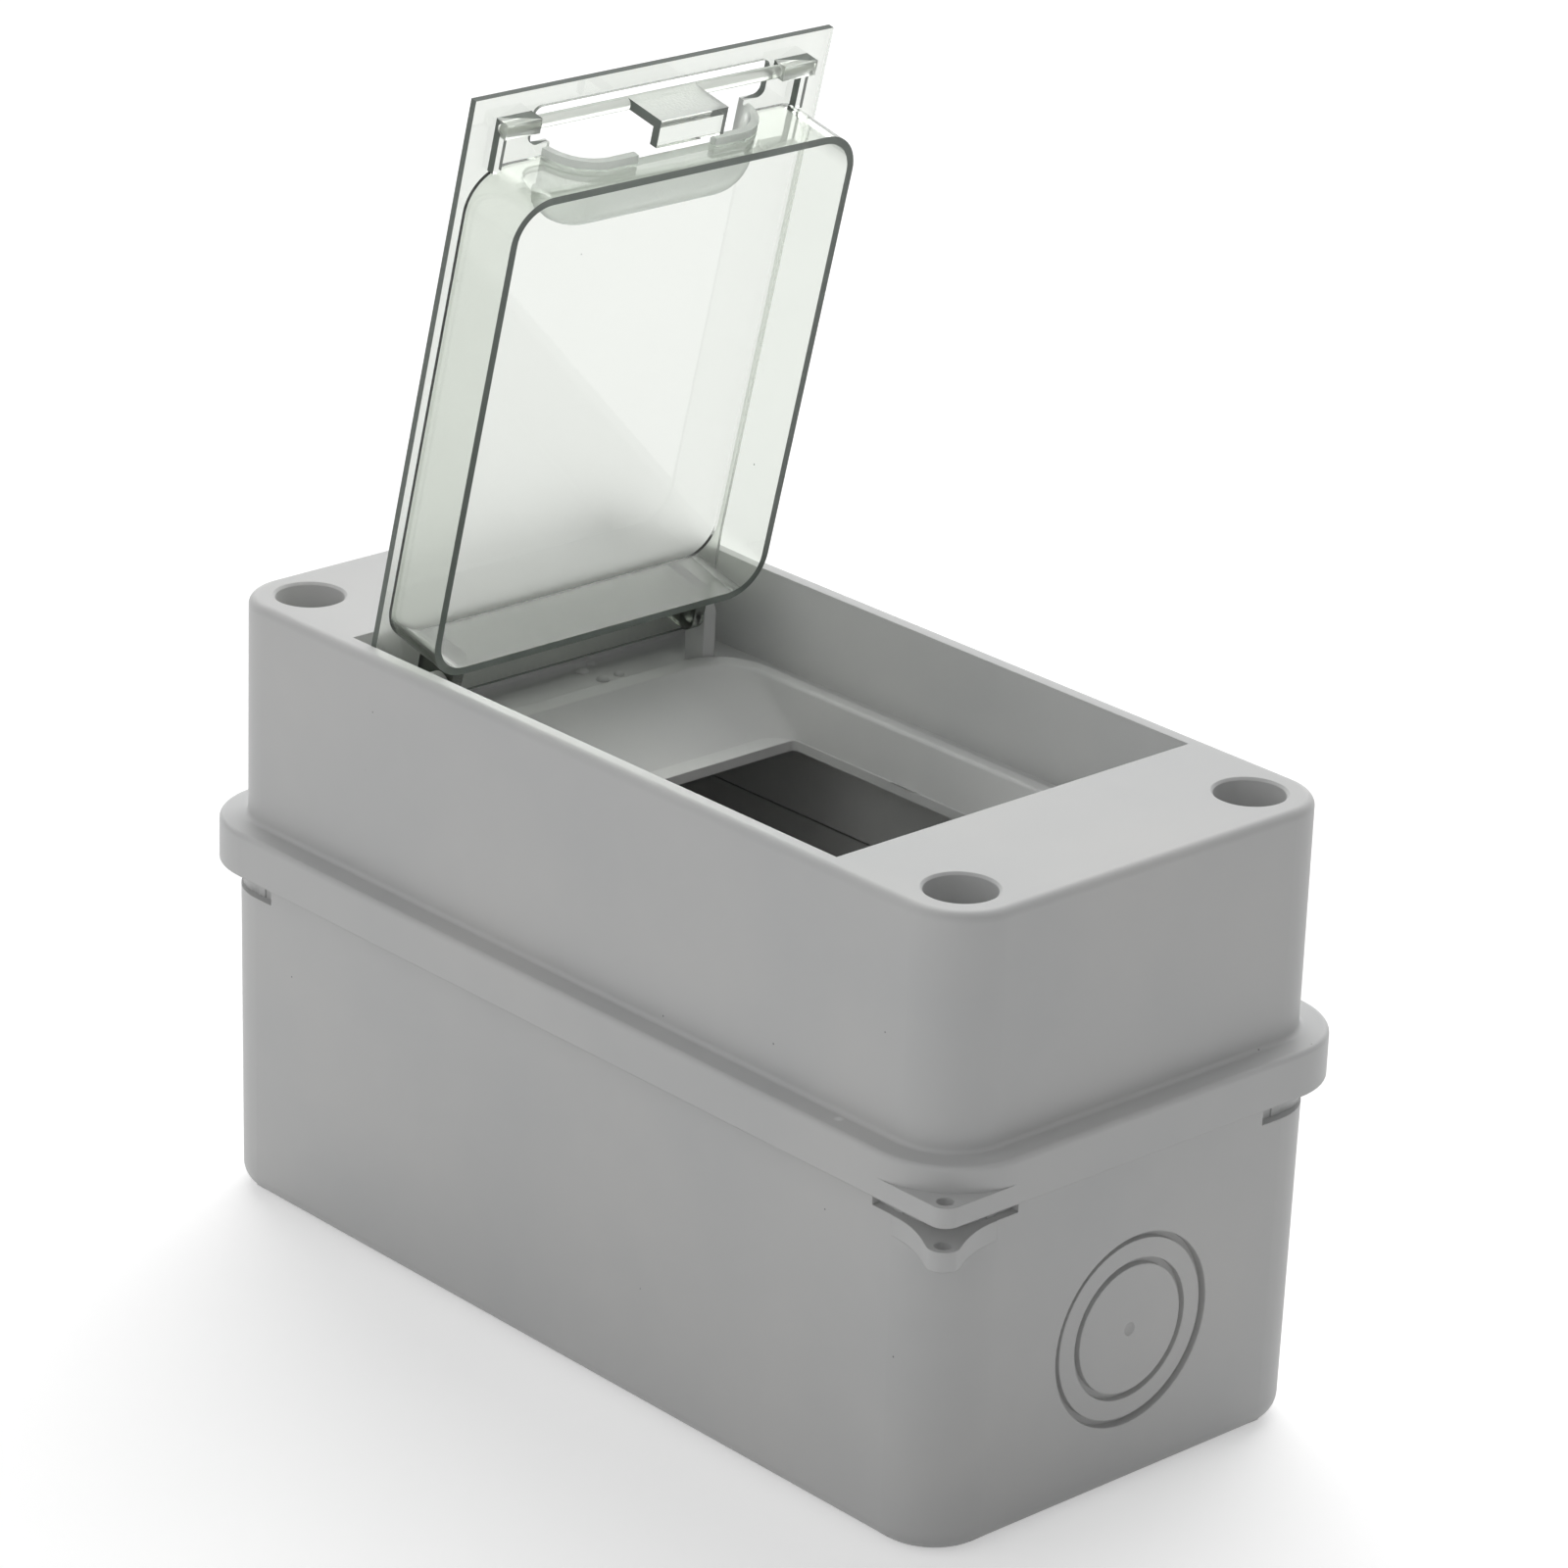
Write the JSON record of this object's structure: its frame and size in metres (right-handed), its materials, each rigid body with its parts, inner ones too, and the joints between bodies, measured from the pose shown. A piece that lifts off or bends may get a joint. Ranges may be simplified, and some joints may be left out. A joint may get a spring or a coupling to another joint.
{
  "type": "electrical distribution box",
  "caption": "Deep rectangular wall enclosure for rail-mounted modules, with a screwed cover and a clear hinged door over its window.",
  "frame": {"origin": "middle of the base's back face, which is also the bottom centre of the bounding box", "axes": "+Z out of the wall towards the door, +X along the box from the hinge end to the latch end, +Y across the box"},
  "size_m": [0.1854, 0.0916, 0.2035],
  "materials": {
    "housing": "light grey moulded thermoplastic, fine satin",
    "door_clear": "clear moulded polycarbonate with a smoke-green tint",
    "seal": "matt black elastomer",
    "rail_steel": "zinc-plated and passivated steel strip",
    "screw_steel": "bright zinc-plated steel",
    "insert_brass": "turned brass"
  },
  "bodies": {
    "housing": {"base": "housing", "cover": "housing", "cover_seal": "seal", "din_rail": "rail_steel", "cover_screw_1": "screw_steel", "cover_screw_2": "screw_steel", "cover_screw_3": "screw_steel", "cover_screw_4": "screw_steel", "rail_screw_1": "screw_steel", "rail_screw_2": "screw_steel", "screw_seal_1": "seal", "screw_seal_2": "seal", "screw_seal_3": "seal", "screw_seal_4": "seal", "threaded_insert_1": "insert_brass", "threaded_insert_2": "insert_brass", "threaded_insert_3": "insert_brass", "threaded_insert_4": "insert_brass"},
    "door": {"door": "door_clear"},
    "latch": {"door_latch": "door_clear"}
  },
  "joints": [
    {"name": "door_hinge", "type": "hinge", "parent": "housing", "child": "door", "pos_m": [-0.04775, 0, 0.0994], "axis": [0, -1, 0], "range_deg": [-76.6, 18]},
    {"name": "latch_flex", "type": "hinge", "parent": "door", "child": "latch", "pos_m": [-0.02913, 0, 0.19807], "axis": [0, -1, 0], "range_deg": [0, 12], "stiffness_Nm_per_rad": 0.16}
  ]
}
